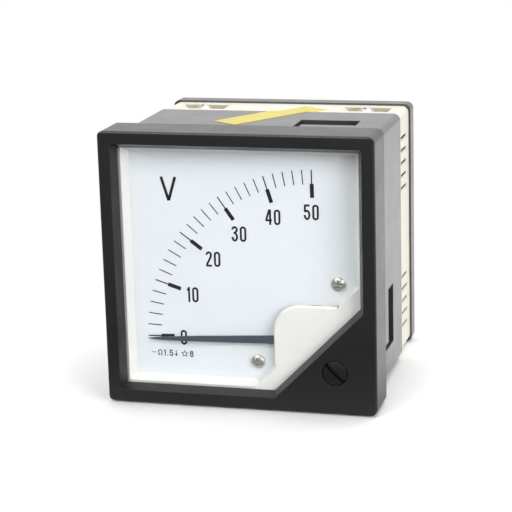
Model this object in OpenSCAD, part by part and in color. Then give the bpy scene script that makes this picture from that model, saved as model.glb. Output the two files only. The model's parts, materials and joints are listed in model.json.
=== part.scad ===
// Square moving-coil panel meter with a quarter-circle dial.
// X runs right, Y runs back through the panel and Z runs up. The origin is the
// middle of the panel's front plane, where the rear rim of the bezel seats.

/* [Front bezel] */
// Width and height of the square front
front_w = 80; // [76:1:120]
// Depth of the bezel in front of the panel
bezel_d = 13.4; // [12.4:0.2:17]
// Thickness of the bezel's front plate
front_t = 3; // [2.6:0.1:3.6]
// Corner radius of the bezel, seen from the front
front_r = 2; // [1:0.25:4]
// Rounding of the bezel's front edges
front_edge_r = 0.7; // [0.3:0.1:1.2]
// Width of the frame around the window, at the front
frame_w = 3.7; // [3:0.1:5]
// How far the window's bevel narrows it on each side
bevel_in = 1.4; // [0.6:0.1:1.8]
// Leg of the window's cut-off corner, at the front
window_leg = 26; // [24:0.5:28]

/* [Pane and dial] */
// Thickness of the window pane
pane_t = 1.6; // [1:0.1:2]
// Thickness of the surround's front flange
flange_t = 1.6; // [1.2:0.1:2]
// Depth of the dial's face behind the pane
dial_drop = 3.2; // [3:0.1:4.4]
// How far the surround slopes inward from pane to dial
slope_in = 1.5; // [0.8:0.1:2]
// Thickness of the dial plate
dial_t = 0.8; // [0.5:0.1:1]
// Gap between the pane and the hood
hood_gap = 0.3; // [0.2:0.05:0.4]
// Thickness of the hood over the movement
hood_t = 0.8; // [0.6:0.05:0.9]
// Corner radius of the hood
hood_r = 8; // [4:0.5:10]
// Distance from the pointer's axis to the hood's left edge
hood_left = 12; // [11.4:0.1:13]
// Distance from the pointer's axis to the hood's top edge
hood_top = 10.3; // [10.2:0.1:12]

/* [Case] */
// How far the bezel stands out from the case, on each side
lip = 2.3; // [2.1:0.1:2.6]
// Length of the case behind the panel
case_l = 36.4; // [32:0.5:46]
// Wall of the case
case_wall = 1.8; // [1.4:0.1:2]
// Corner radius of the case
case_r = 2; // [1.5:0.25:4]
// Distance of the clip slots behind the panel's plane
slot_y = 15.6; // [12:0.2:17]
// Width of a clip slot, along the case
slot_w = 7.5; // [5:0.5:8]
// Distance from the middle of a face to the near end of its clip slot
slot_near = 10.8; // [8:0.2:14]
// Distance from the middle of a face to the far end of its clip slot
slot_far = 28.6; // [24:0.2:30]
// Width of the narrow leg that leads to a clip slot
slot_leg = 1.8; // [1.2:0.1:2.6]
// Depth of that leg in the wall
slot_leg_depth = 1; // [0.6:0.1:1.2]

/* [Rear base] */
// Length of the rear base
base_l = 16.2; // [15:0.2:24]
// How far the rear base stands in from the case, on each side
base_in = 0.5; // [0.3:0.1:0.8]
// Number of vents in each group
vents = 5; // [3:1:5]
// Pitch of the vents
vent_pitch = 3.85; // [3:0.05:4]
// Height of a vent
vent_h = 1.3; // [0.8:0.1:1.8]
// Distance from the middle to the first vent
vent_start = 13.85; // [10:0.05:14]
// Thickness of the back plate, rim included
back_t = 5; // [4.4:0.2:7]
// Thickness of the back plate's floor
back_floor = 2.2; // [1.8:0.1:3]
// Distance of each screw pocket's middle from the side of the case
pocket_side = 12.1; // [11.5:0.1:15]
// Length of a screw pocket at the surface
pocket_l = 14.6; // [10:0.2:15]
// Depth of a screw pocket
pocket_h = 2.4; // [2:0.1:2.8]

/* [Terminals] */
// Distance between the two terminals
terminal_pitch = 40; // [32:1:42]
// Radius of a terminal stud
stud_r = 2; // [1.5:0.1:2.5]
// Length of a stud beyond the back plate
stud_out = 10.8; // [10:0.2:14]
// Thickness of a terminal nut
nut_t = 3.2; // [2:0.1:3.2]

/* [Movement] */
// Distance from the case's inner right wall to the pointer's axis
axis_right = 14.8; // [14.8:0.1:16]
// Distance from the case's inner bottom wall to the pointer's axis
axis_bottom = 15.8; // [15.4:0.1:17]
// Angle of the resting pointer below the horizontal
rest_angle = 2.3; // [0:0.1:4]
// Distance from the pointer's tip to the dial's left edge
tip_margin = 4.1; // [3:0.1:8]
// Outer radius of the yoke ring
yoke_r = 12.4; // [12:0.1:12.6]
// Inner radius of the yoke ring
gap_r = 9.4; // [9.2:0.1:9.6]
// Radius of the core magnet
core_r = 7; // [6:0.1:7.2]
// Length of the yoke ring
yoke_l = 14; // [12:0.5:15]
// Width of the coil
coil_w = 3.2; // [2:0.2:3.6]
// Radius of the zero adjuster's head
adjuster_r = 3.5; // [3:0.1:4]
// Throw of the zero adjuster's eccentric pin
pin_throw = 1.6; // [1.2:0.1:1.7]

/* [Seal label] */
// Length of the seal label
label_l = 37; // [30:1:40]
// Width of the seal label
label_w = 9.4; // [6:0.2:10]
// Angle of the label's long side, from the X axis
label_angle = 56; // [45:1:65]

/* [Hidden] */
$fn = 64;

eps = 0.02;            // overshoot of a cut
big = 300;             // reach of a half space
diag = sqrt(2);

// Depths, from the front to the back
y_front = -bezel_d;
y_pane = y_front + front_t;
y_rim = y_pane + pane_t;
y_case = y_rim + flange_t;
y_dial = y_rim + dial_drop;
y_hood = y_rim + hood_gap;
y_skin = y_hood + hood_t;
y_base = case_l;
y_back = y_base + base_l;
y_floor = y_back + back_t - back_floor;
y_rear = y_back + back_t;

// Bezel and window
case_w = front_w - 2 * lip;
bezel_wall = 2;                       // rim that seats on the panel
cavity = front_w - 2 * bezel_wall;    // square space inside the bezel
window_h = front_w / 2 - frame_w;     // half the window, at the front
inner_h = window_h - bevel_in;        // half the window, behind its bevel
// A cut-off corner is the side of the line x - z = cut
window_cut = 2 * window_h - window_leg;
inner_cut = window_cut - 1.5 * bevel_in;
pane_lap = 1.3;                       // how far the pane reaches behind the bezel
pane_h = inner_h + pane_lap;
pane_cut = inner_cut + pane_lap * diag;
fit_gap = 0.2;                        // clearance of a piece in its seat

// Surround, dial and hood
case_in = case_w / 2 - case_wall;     // half the space inside the case
skirt_h = case_in - fit_gap;
skirt_wall = 1.4;
skirt_l = 5.8;                        // length of the surround inside the case
ledge = 1.1;                          // width of the ledge that the dial sits on
open_h = inner_h - 0.3;               // half the surround's opening, at the pane
dial_h = open_h - slope_in;           // half the dial that shows
plate_h = dial_h + ledge;             // half the dial plate
band_w = 4.3;                         // width of the surround's diagonal band
band_cut = inner_cut - band_w * diag;
plate_cut = band_cut - 0.8;

// Movement, along the pointer's axis
axis_x = case_in - axis_right;
axis_z = axis_bottom - case_in;
rel_x = adjuster_inset() - axis_x;
rel_z = axis_z - (-adjuster_inset());
frame_t = 2;
y_frame = y_dial + 3;
y_yoke = y_frame + frame_t;
y_yoke_rear = y_yoke + yoke_l;
core_l = yoke_l - 1;
y_core = y_yoke + 0.5;
coil_clear = 0.7;
former_t = 0.3;
winding_t = 0.8;
y_former = y_core - coil_clear - former_t;
former_l = core_l + 2 * (coil_clear + former_t);
y_coil = y_former - winding_t;
coil_l = former_l + 2 * winding_t;
y_coil_rear = y_coil + coil_l;
former_in = core_r + 0.45;            // half the former's width, inside
pivot_base_t = 0.8;
hub_t = 1.6;
collar_t = 0.8;
pivot_l = 0.95;
y_hub = y_coil - pivot_base_t - hub_t;
y_collar = y_hub - collar_t;
y_tip = y_collar - pivot_l;
bridge_t = 0.8;
y_bridge = y_dial - 1.3;              // front face of the front bridge
y_rear_collar = y_coil_rear + pivot_base_t;
rear_collar_l = 1.8;
y_rear_tip = y_rear_collar + rear_collar_l + pivot_l;
y_rear_bridge = y_rear_tip + 0.1;
spring_w = 0.3;
y_front_spring = y_collar + 0.1;
y_rear_spring = y_rear_collar + rear_collar_l - 0.1 - spring_w;
pillar_at = 10.9;                     // distance of a pillar from the axis
pillar_r = 1.5;
cup_r = 0.33;
pivot_r = 0.25;
jewel_r = 1.2;
boss_r = 1.9;
spring_r = 3.6;
collar_r = 0.8;

// Pointer
pointer_l = axis_x + dial_h - tip_margin;
pointer_t = 0.2;
y_pointer = y_skin + 0.35;
arm_t = 0.4;
y_arm = y_hub + 0.2;
riser_from = 6.8;
riser_to = 9.1;
plate_hole_r = 9.9;                   // the dial's opening around the axis
// Stops for the riser: the pointer's travel, 5.1 for the riser's half width, and play
stop_low = 1 + 5.1 + 0.5;
stop_high = 93.5 + 5.1 + 0.5;

// Zero adjuster
adjuster_at = adjuster_inset();
neck_r = 2.3;
run_gap = 0.05;                       // clearance of a running fit
lever_l = sqrt(rel_x * rel_x + rel_z * rel_z);
lever_angle = atan2(rel_z, rel_x);    // positive turns the lever downward
lever_t = 0.3;
y_lever = y_bridge + bridge_t + 0.15;
pin_r = 0.5;

// Fasteners
dial_screw_at = [axis_x + 6.7, axis_z + 16.4];
dial_screw_r = 2;
post_r = 2;
post_in = 4;                          // a post's distance from the case's inner wall
post_side = 27;                       // a side post's distance from the far wall
posts = [[case_in - post_in, -case_in + post_side],
    [case_in - post_side, -case_in + post_in],
    [case_in - post_in, -case_in + post_in]];

// Rear
base_h = case_w / 2 - base_in;
base_wall = 1.8;
base_inner = base_h - base_wall;
pocket_x = case_w / 2 - pocket_side;
pocket_w = 11.8;
pocket_y = y_base + 2.7;
pocket_floor = 1.4;
base_screw_y = pocket_y + pocket_w / 2;
tongue_w = 7;
tongue_t = 3;
tongue_top = base_h - pocket_h - pocket_floor - fit_gap;
corner_post = base_inner - 2.8;
corner_post_r = 3;
back_h = case_w / 2 + 0.1;
back_wall = 2.6;
boss_out = 1.2;
terminal_boss_r = 7;
inner_boss_t = 2;
y_flange = y_floor - inner_boss_t;    // rear face of a stud's hexagon
stud_hex_t = 1.8;
board_t = 1.6;
y_board = y_flange - stud_hex_t - board_t;
lug_t = 0.5;
inner_nut_t = 2.2;
washer_t = 0.8;

// Half the distance of the zero adjuster from the middle, on both axes
function adjuster_inset() = front_w / 2 - 12.1;

// ---- Shapes ----

// A shape drawn in X and Z, carried along Y
module along_y(y0, length)
    translate([0, y0 + length, 0]) rotate([90, 0, 0]) linear_extrude(length) children();

// A disc or rod along Y
module rod(r, y0, length) along_y(y0, length) circle(r);

module at_axis(x = axis_x, z = axis_z) translate([x, 0, z]) children();

module rounded(w, r) {
    square([w, w - 2 * r], center = true);
    square([w - 2 * r, w], center = true);
    for (x = [-1, 1], z = [-1, 1]) translate([x, z] * (w / 2 - r)) circle(r);
}

// Square with the lower right corner cut off along x - z = cut
module five_sided(h, cut)
    polygon([[-h, -h], [cut - h, -h], [h, h - cut], [h, h], [-h, h]]);

// Everything on the corner's side of the line x - z = cut, inside a square
module corner_side(h, cut)
    polygon([[h, h - cut], [h, -h], [cut - h, -h]]);

// Five-sided opening that narrows evenly from y0 to y1
module funnel(y0, y1, h0, h1, cut0, cut1) {
    module pair() linear_extrude(big, center = true)
        polygon([[-h0, y0], [h0, y0], [h1, y1], [-h1, y1]]);
    intersection() {
        pair();
        rotate([0, 90, 0]) pair();
        rotate([0, 45, 0]) linear_extrude(big, center = true)
            polygon([[-big, y0], [cut0 / diag, y0], [cut1 / diag, y1], [-big, y1]]);
    }
}

// Ring sector in the plane of the dial
module arc_band(r0, r1, a0, a1) {
    mid = (a0 + a1) / 2;
    intersection() {
        difference() {
            circle(r1);
            circle(r0);
        }
        polygon([[0, 0], 2 * r1 * [cos(a0), sin(a0)], 2 * r1 * [cos(mid), sin(mid)],
            2 * r1 * [cos(a1), sin(a1)]]);
    }
}

// Pan head screw along +Z, its head's underside at the origin and its shank below
module pan_screw(head_r, head_h, shank_r, shank_l, arm_w = 0.6) {
    dome = (head_r * head_r + head_h * head_h) / (2 * head_h) + head_h * 0.35;
    difference() {
        intersection() {
            cylinder(r = head_r, h = head_h);
            translate([0, 0, head_h - dome]) sphere(dome);
        }
        for (a = [0, 90]) rotate(a)
            translate([-head_r * 0.62, -arm_w / 2, head_h * 0.45])
                cube([head_r * 1.24, arm_w, head_h]);
    }
    translate([0, 0, -shank_l]) cylinder(r = shank_r, h = shank_l + eps);
}

module hex_nut(r, hole, y0, t) along_y(y0, t) difference() {
    rotate(30) circle(r, $fn = 6);
    circle(hole);
}

// Flat spiral strip from radius a to radius b
module spiral(a, b, turns, t) {
    steps = turns * 24;
    function at(i, off) = (a + (b - a) * i / steps + off)
        * [cos(360 * turns * i / steps), sin(360 * turns * i / steps)];
    polygon([each [for (i = [0:steps]) at(i, t / 2)],
        each [for (i = [steps:-1:0]) at(i, -t / 2)]]);
}

// Insulated wire: forward along Y, across to a second spot in X and Z, and forward again
module wire(from, to, y_rear, y_cross, y_end, r = 0.6, bend = 2.5) {
    step = to - from;
    run = norm(step);
    module quarter(x, y, start) translate([x, y, 0])
        rotate_extrude(angle = 90, start = start) translate([bend, 0]) circle(r);
    translate([from.x, 0, from.y]) rotate([0, -atan2(step.y, step.x), 0]) {
        rod(r, y_cross + bend, y_rear - y_cross - bend);
        quarter(bend, y_cross + bend, 180);
        translate([bend, y_cross, 0]) rotate([0, 90, 0]) cylinder(r = r, h = run - 2 * bend);
        quarter(run - bend, y_cross - bend, 0);
        translate([run, 0, 0]) rod(r, y_end, y_cross - bend - y_end);
    }
}

// ---- Bezel, pane, surround and dial ----

module bezel_block() {
    module side() linear_extrude(big, center = true) {
        translate([-front_w / 2, y_front + front_edge_r])
            square([front_w, bezel_d - front_edge_r]);
        translate([-front_w / 2 + front_edge_r, y_front])
            square([front_w - 2 * front_edge_r, bezel_d]);
        for (x = [-1, 1])
            translate([x * (front_w / 2 - front_edge_r), y_front + front_edge_r])
                circle(front_edge_r);
    }
    intersection() {
        along_y(y_front, bezel_d) rounded(front_w, front_r);
        side();
        rotate([0, 90, 0]) side();
    }
}

snap_l = 8;
snap_x = 22;
snap_y = -5;
snap_h = 0.7;

// Ridge that a bezel pocket snaps over, on the top or bottom of the case
module snap_ridge(grow = 0)
    for (x = [-1, 1]) translate([x * snap_x, 0, case_w / 2])
        rotate([0, -90, 0]) linear_extrude(snap_l + 2 * grow, center = true)
            polygon([[-0.5, snap_y - 2 * grow], [grow, snap_y - 2 * grow],
                [snap_h + grow, snap_y + 1.2 - grow], [snap_h + grow, snap_y + 1.6 + grow],
                [-0.5, snap_y + 1.6 + grow]]);

module front_bezel() color("#1c1c1e") {
    difference() {
        bezel_block();
        along_y(y_pane, bezel_d) rounded(cavity, 1);
        funnel(y_front - eps, y_pane + eps, window_h + bevel_in * eps / front_t,
            inner_h - bevel_in * eps / front_t, window_cut, inner_cut);
        at_axis(adjuster_at, -adjuster_at) {
            rod(adjuster_r + 0.25, y_front - 1, 1 + 2.2);
            rod(neck_r + run_gap, y_front, front_t + 1);
        }
        for (a = [0, 180]) rotate([0, a, 0]) snap_ridge(0.2);
        // notch for a case opener, in the top rear edge
        translate([-front_w / 2 + 8.4, -0.9, front_w / 2 - 1]) cube([2.3, 2, 2]);
    }
    // boss that lengthens the adjuster's bearing
    at_axis(adjuster_at, -adjuster_at) along_y(y_pane - eps, 1) difference() {
        circle(neck_r + 2.1);
        circle(neck_r + run_gap);
    }
    // rib that keeps the pane's cut edge in place
    along_y(y_pane - eps, pane_t) intersection() {
        corner_side(pane_h, pane_cut + fit_gap);
        five_sided(pane_h, pane_cut + fit_gap + 1.8);
    }
}

module window_pane() color("#dfe8ee", 0.25)
    along_y(y_pane, pane_t) five_sided(pane_h, pane_cut);

module hood_shape(inset) {
    x0 = axis_x - hood_left + inset;
    z1 = axis_z + hood_top - inset;
    r = hood_r - inset;
    far = skirt_h - 1;
    translate([x0 + r, -far]) square([far - x0 - r, z1 + far]);
    translate([x0, -far]) square([far - x0, z1 - r + far]);
    translate([x0 + r, z1 - r]) circle(r);
}

// The hood's edge is a quarter round of its own thickness
module hood_rim() {
    x0 = axis_x - hood_left + hood_t;
    z1 = axis_z + hood_top - hood_t;
    r = hood_r - hood_t;
    x_end = band_cut + z1;
    z_end = x0 - band_cut;
    intersection() {
        translate([-big / 2, y_hood, -big / 2]) cube([big, hood_t, big]);
        union() {
            translate([x0, y_skin, z_end]) cylinder(r = hood_t, h = z1 - r - z_end);
            translate([x0 + r, y_skin, z1]) rotate([0, 90, 0])
                cylinder(r = hood_t, h = x_end - x0 - r);
            translate([x0 + r, y_skin, z1 - r]) rotate([90, 90, 0])
                rotate_extrude(angle = 90, start = 90) translate([r, 0]) circle(hood_t);
        }
    }
}

// Room for the movement behind the hood and the corner's skin
module movement_room() intersection() {
    at_axis() rod(14, y_skin, y_dial - y_skin + eps);
    along_y(y_skin, y_dial - y_skin + eps) union() {
        hood_shape(0);
        corner_side(skirt_h - 0.8, band_cut + 1.2 * diag);
    }
}

module dial_surround() color("#eeece6") {
    difference() {
        union() {
            along_y(y_rim, flange_t) rounded(case_w - 0.2, case_r);
            along_y(y_rim + eps, flange_t + skirt_l) rounded(2 * skirt_h, 1);
        }
        funnel(y_rim - eps, y_dial, open_h, dial_h, band_cut, plate_cut - 0.4);
        along_y(y_dial - eps, big) rounded(2 * (plate_h + 0.1), 0.2);
        along_y(y_rim - 1, 1 + hood_gap) corner_side(skirt_h + 1, band_cut - 1);
        movement_room();
        at_axis(adjuster_at, -adjuster_at) rod(neck_r + 0.4, y_rim, 4);
    }
    along_y(y_hood, hood_t) intersection() {
        hood_shape(hood_t);
        five_sided(skirt_h, band_cut + 2);
    }
    hood_rim();
    for (p = posts) at_axis(p.x, p.y) along_y(y_skin - eps, y_frame - y_skin + eps)
        difference() {
            circle(post_r);
            circle(0.9);
        }
}

module dial_plate() color("#dfe3e8") difference() {
    along_y(y_dial, dial_t) five_sided(plate_h, plate_cut);
    at_axis() rod(plate_hole_r, y_dial - 1, 4);
    for (s = dial_screw_spots()) at_axis(s.x, s.y) rod(1.25, y_dial - 1, 4);
}

// The two dial screws mirror each other across the window's diagonal
function dial_screw_spots() = [dial_screw_at, [-dial_screw_at.y, -dial_screw_at.x]];

module dial_screws() color("#b9b9b4")
    for (s = dial_screw_spots()) translate([s.x, y_dial, s.y])
        rotate([90, 0, 0]) pan_screw(dial_screw_r, 1.35, 1.05, 4);

// ---- Case, rear base, back plate and label ----

// Slot for a mounting clip, on the top face; its leg leads to the panel's plane
module clip_slot(leg_x) {
    top = case_w / 2;
    translate([slot_near, slot_y, top - case_wall - 1])
        cube([slot_far - slot_near, slot_w, case_wall + 2]);
    translate([leg_x, eps, top - slot_leg_depth])
        cube([slot_leg, slot_y, slot_leg_depth + 1]);
}

// Tongue that reaches into the rear base, under a screw pocket
module tongue() difference() {
    union() {
        translate([-tongue_w / 2, y_base - 8, tongue_top - tongue_t])
            cube([tongue_w, base_l - 2.6 + 8, tongue_t]);
        translate([-tongue_w / 2, y_base - 8, tongue_top - tongue_t])
            cube([tongue_w, 8, case_w / 2 - 1 - tongue_top + tongue_t]);
    }
    translate([0, base_screw_y, 0]) cylinder(r = 1.25, h = case_w);
}

module case_body() color("#202022") {
    difference() {
        union() {
            difference() {
                along_y(y_case, case_l - y_case) rounded(case_w, case_r);
                along_y(y_case - 1, case_l - y_case + 2) rounded(2 * case_in, 1);
            }
            for (a = [0, 180]) rotate([0, a, 0]) snap_ridge();
        }
        for (a = [0, 180]) rotate([0, a, 0]) clip_slot(slot_near);
        for (a = [90, 270]) rotate([0, a, 0]) clip_slot(slot_far - slot_leg);
    }
    for (a = [0, 180], x = [-1, 1]) rotate([0, a, 0])
        translate([x * pocket_x, 0, 0]) tongue();
}

module vent() {
    depth = base_wall + 0.4;
    translate([base_h - depth, y_base + 3.2, vent_h / 2]) rotate([-90, 0, 0])
        linear_extrude(8.5) polygon([[0, 0], [depth + 1, 0],
            [depth + 1, vent_h * (depth + 1) / depth]]);
}

// Screw pocket with sloped ends, open at the top
module screw_pocket() {
    half = pocket_l / 2;
    translate([pocket_x, pocket_y + pocket_w, base_h]) rotate([90, 0, 0])
        linear_extrude(pocket_w) polygon([[-half, eps], [half, eps],
            [half - 2.4, -pocket_h], [-half + 2.4, -pocket_h]]);
    translate([pocket_x, base_screw_y, 0]) cylinder(r = 1.5, h = case_w);
}

module rear_base() color("#e9e4cf") difference() {
    union() {
        difference() {
            along_y(y_base, base_l) rounded(2 * base_h, case_r);
            along_y(y_base - 1, base_l + 2) rounded(2 * base_inner, 1);
        }
        // spigot inside the case
        difference() {
            along_y(y_base - 2, 3.4) rounded(2 * skirt_h, 1);
            along_y(y_base - 3, 5) rounded(2 * skirt_h - 3, 1);
            for (a = [0, 180], x = [-1, 1]) rotate([0, a, 0])
                translate([x * pocket_x - tongue_w / 2 - 0.3, y_base - 3, 0])
                    cube([tongue_w + 0.6, 3.0 + eps, case_w]);
        }
        // floors of the screw pockets
        for (a = [0, 180], x = [-1, 1]) rotate([0, a, 0])
            translate([x * pocket_x - pocket_l / 2, pocket_y - 1,
                base_h - pocket_h - pocket_floor])
                cube([pocket_l, pocket_w + 2, pocket_h + pocket_floor - 1]);
        // posts for the back plate's screws
        for (x = [-1, 1], z = [-1, 1]) at_axis(x * corner_post, z * corner_post)
            rod(corner_post_r, y_base + 1.6, base_l - 1.6);
    }
    for (a = [0, 180]) rotate([0, a, 0]) {
        screw_pocket();
        mirror([1, 0, 0]) screw_pocket();
    }
    for (m = [0, 1], g = [-1, 1], k = [0:vents - 1]) mirror([m, 0, 0])
        translate([0, 0, g * (vent_start + k * vent_pitch)]) vent();
    for (x = [-1, 1], z = [-1, 1]) at_axis(x * corner_post, z * corner_post)
        rod(1.1, y_back - 9, 10);
}

module base_screws() color("#c9c9c4")
    for (a = [0, 180], x = [-1, 1]) rotate([0, a, 0])
        translate([x * pocket_x, base_screw_y, base_h - pocket_h])
            pan_screw(2.4, 1.9, 1.2, 4.2, 0.7);

module back_plate() color("#2a2a2c") {
    difference() {
        union() {
            difference() {
                along_y(y_back, back_t) rounded(2 * back_h, case_r);
                along_y(y_back - 1, back_t - back_floor + 1)
                    rounded(2 * (back_h - back_wall), 1);
            }
            for (x = [-1, 1], z = [-1, 1]) at_axis(x * corner_post, z * corner_post)
                rod(corner_post_r + 0.2, y_back, back_t - back_floor + eps);
            for (x = [-1, 1]) at_axis(x * terminal_pitch / 2, 0) {
                rod(terminal_boss_r - 1, y_flange, inner_boss_t + eps);
                rod(terminal_boss_r, y_rear - eps, boss_out);
            }
        }
        for (x = [-1, 1], z = [-1, 1]) at_axis(x * corner_post, z * corner_post) {
            rod(1.35, y_back - 1, back_t + 2);
            rod(2.7, y_rear - 1.3, 3);
        }
        for (x = [-1, 1]) at_axis(x * terminal_pitch / 2, 0)
            rod(stud_r + 0.15, y_flange - 1, 10);
    }
    // raised plus and minus beside the terminals
    for (x = [-1, 1]) at_axis(x * terminal_pitch / 2, 13) along_y(y_rear - eps, 0.5)
        square([5, 1.2], center = true);
    at_axis(-terminal_pitch / 2, 13) along_y(y_rear - eps, 0.5)
        square([1.2, 5], center = true);
}

module back_plate_screws() color("#c9c9c4")
    for (x = [-1, 1], z = [-1, 1])
        translate([x * corner_post, y_rear - 1.3, z * corner_post]) rotate([-90, 0, 0])
            pan_screw(2.4, 1.7, 1.05, 9, 0.7);

// Paper strip that follows the step from the case to the rear base
module seal_label() color("#f2cf3a") {
    t = 0.12;
    high = case_w / 2;
    low = base_h;
    reach = 40;
    intersection() {
        rotate([90, 0, 90]) linear_extrude(big, center = true)
            polygon([[y_base - reach, high], [y_base, high], [y_base + base_in, low],
                [y_base + reach, low], [y_base + reach, low + t],
                [y_base + base_in + t, low + t], [y_base + t, high + t],
                [y_base - reach, high + t]]);
        translate([-0.3, y_base - 5.8, high - 5]) rotate(label_angle)
            translate([-label_l / 2, -label_w / 2, 0]) cube([label_l, label_w, 10]);
    }
}

// ---- Movement: fixed pieces ----

module movement_frame() color("#8d8f92") difference() {
    union() {
        along_y(y_frame, frame_t) {
            polygon([for (p = frame_corners()) p]);
            for (p = frame_corners()) translate(p) circle(2.3);
        }
        // socket for the yoke ring
        at_axis() rod(yoke_r + 0.7, y_frame, frame_t + 5);
        for (s = dial_screw_spots()) at_axis(s.x, s.y)
            rod(2.4, y_dial + dial_t, y_frame - y_dial - dial_t + eps);
    }
    at_axis() {
        rod(gap_r + 0.2, y_frame - 1, 20);
        rod(yoke_r + 0.03, y_yoke, 20);
        for (a = [45, 225]) pillar_spot(a) rod(0.85, y_frame - 1, 6);
    }
    for (s = dial_screw_spots()) at_axis(s.x, s.y) rod(1.1, y_dial, 9);
    for (p = posts) at_axis(p.x, p.y) rod(1.2, y_frame - 1, 9);
}

function frame_corners() = [dial_screw_spots()[0], posts[0], posts[2], posts[1],
    dial_screw_spots()[1]];

module pillar_spot(a)
    translate([pillar_at * cos(a), 0, pillar_at * sin(a)]) children();

module frame_screws() color("#c9c9c4")
    for (p = posts) translate([p.x, y_yoke, p.y]) rotate([-90, 0, 0])
        pan_screw(2, 1.3, 0.85, 5);

module yoke_ring() color("#6f7276") at_axis() difference() {
    rod(yoke_r, y_yoke, yoke_l);
    rod(gap_r, y_yoke - 1, yoke_l + 2);
    for (a = [45, 225]) pillar_spot(a) {
        rod(0.85, y_yoke - 1, 4);
        rod(0.85, y_yoke_rear - 3, 4);
    }
}

module core_magnet() color("#4a4d52") at_axis() rod(core_r, y_core, core_l);

// Bars in the air gap, where the coil doesn't pass
module core_spacers() color("#a7a9ab") at_axis()
    for (a = [90, 270]) along_y(y_core, core_l)
        arc_band(core_r + 0.05, gap_r - 0.05, a - 20, a + 20);

module bridge_strip() {
    rotate(45) square([2 * pillar_at, 4.4], center = true);
    for (a = [45, 225]) translate(pillar_at * [cos(a), sin(a)]) circle(2.2);
}

// The fingers stop the pointer's riser at both ends of its travel
module front_bridge() color("#c8b273") at_axis() difference() {
    union() {
        along_y(y_bridge, bridge_t) {
            bridge_strip();
            arc_band(7.9, 9.2, 180 + rest_angle + stop_low, 225);
            arc_band(7.9, 9.2, 45, 180 + rest_angle - stop_high);
        }
        rod(boss_r, y_bridge, bridge_t + 0.6);
    }
    rod(jewel_r + 0.03, y_bridge - 1, 4);
    for (a = [45, 225]) pillar_spot(a) rod(0.8, y_bridge - 1, 3);
}

module rear_bridge() color("#c8b273") at_axis() difference() {
    along_y(y_rear_bridge, bridge_t) bridge_strip();
    rod(jewel_r + 0.03, y_rear_bridge - 1, 4);
    for (a = [45, 225]) pillar_spot(a) rod(0.8, y_rear_bridge - 1, 3);
}

module bridge_pillars() color("#c8b273") at_axis() for (a = [45, 225]) pillar_spot(a) {
    difference() {
        union() {
            rod(pillar_r, y_bridge + bridge_t, y_frame - y_bridge - bridge_t);
            rod(0.8, y_frame - eps, 2.6);
        }
        rod(0.62, y_bridge, 3.4);
    }
    difference() {
        union() {
            rod(pillar_r, y_yoke_rear, y_rear_bridge - y_yoke_rear);
            rod(0.8, y_yoke_rear - 2.6, 2.6 + eps);
        }
        rod(0.62, y_rear_bridge - 2.6, 3.4);
    }
}

module cheese_screw(y0, dir) {
    mirror([0, dir < 0 ? 0 : 1, 0]) translate([0, dir < 0 ? y0 : -y0, 0]) difference() {
        union() {
            rod(1.4, -0.5, 0.5);
            rod(0.6, -eps, 2.6);
        }
        translate([-2, -0.8, -0.2]) cube([4, 0.55, 0.4]);
    }
}

module bridge_screws() color("#b9b9b4") at_axis() for (a = [45, 225]) pillar_spot(a) {
    cheese_screw(y_bridge, -1);
    cheese_screw(y_rear_bridge + bridge_t, 1);
}

module front_jewel_screw() color("#d1b25a") at_axis() difference() {
    rod(jewel_r, y_bridge - 0.5, y_tip + 0.25 - y_bridge + 0.5);
    rod(cup_r, y_tip - 0.1, 2);
    translate([-2, y_bridge - 0.7, -0.15]) cube([4, 0.5, 0.3]);
}

module rear_jewel_screw() color("#d1b25a") at_axis() {
    y0 = y_rear_tip - 0.25;
    difference() {
        rod(jewel_r, y0, y_rear_bridge + bridge_t + 0.9 - y0);
        rod(cup_r, y0 - 1, 1 + 0.35);
        translate([-2, y_rear_bridge + bridge_t + 0.6, -0.15]) cube([4, 0.5, 0.3]);
    }
}

module jewel_nuts() color("#d1b25a") at_axis() {
    hex_nut(2.2, jewel_r + 0.03, y_bridge - 0.4, 0.4);
    hex_nut(2.2, jewel_r + 0.03, y_rear_bridge + bridge_t, 0.6);
}

// Tag on the rear bridge that holds the rear spring's outer end
module spring_anchor() color("#c8b273") at_axis() {
    rotate([0, -135, 0]) {
        along_y(y_rear_bridge - 0.3, 0.3) translate([1.6, -0.6]) square([3.2, 1.2]);
        along_y(y_rear_spring - 0.2, y_rear_bridge - y_rear_spring + 0.2)
            translate([spring_r + 0.1, -0.6]) square([0.5, 1.2]);
    }
}

// ---- Movement: moving pieces ----

module zero_lever() color("#c8b273") at_axis() {
    rotate([0, lever_angle, 0]) along_y(y_lever, lever_t) difference() {
        union() {
            circle(3);
            translate([0, -0.7]) square([lever_l - 2.6, 1.4]);
            translate([lever_l - 3, -1.5]) square([2.9, 3]);
        }
        circle(boss_r + run_gap);
        translate([lever_l - 2.6, -pin_r - 0.15]) square([4, 2 * pin_r + 0.3]);
    }
    rotate([0, -135, 0]) {
        along_y(y_lever, lever_t) translate([2.8, -0.6]) square([1.4, 1.2]);
        along_y(y_lever, y_front_spring + spring_w - y_lever)
            translate([spring_r + 0.1, -0.6]) square([0.5, 1.2]);
    }
}

module front_hairspring() color("#b87333") at_axis() rotate([0, -135, 0])
    along_y(y_front_spring, spring_w) spiral(collar_r + 0.1, spring_r, 5, 0.12);

module rear_hairspring() color("#b87333") at_axis() rotate([0, -135, 0])
    along_y(y_rear_spring, spring_w) spiral(collar_r + 0.1, spring_r, 5, 0.12);

// Turned so that the coil's sides stay clear of the spacers over the whole travel
module coil_turn() at_axis() rotate([0, -rest_angle - 45, 0]) children();

module coil_frame(half, y0, length, wall) difference() {
    translate([-half - wall, y0 - wall, -coil_w / 2])
        cube([2 * (half + wall), length + 2 * wall, coil_w]);
    translate([-half, y0, -coil_w]) cube([2 * half, length, 2 * coil_w]);
}

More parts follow.
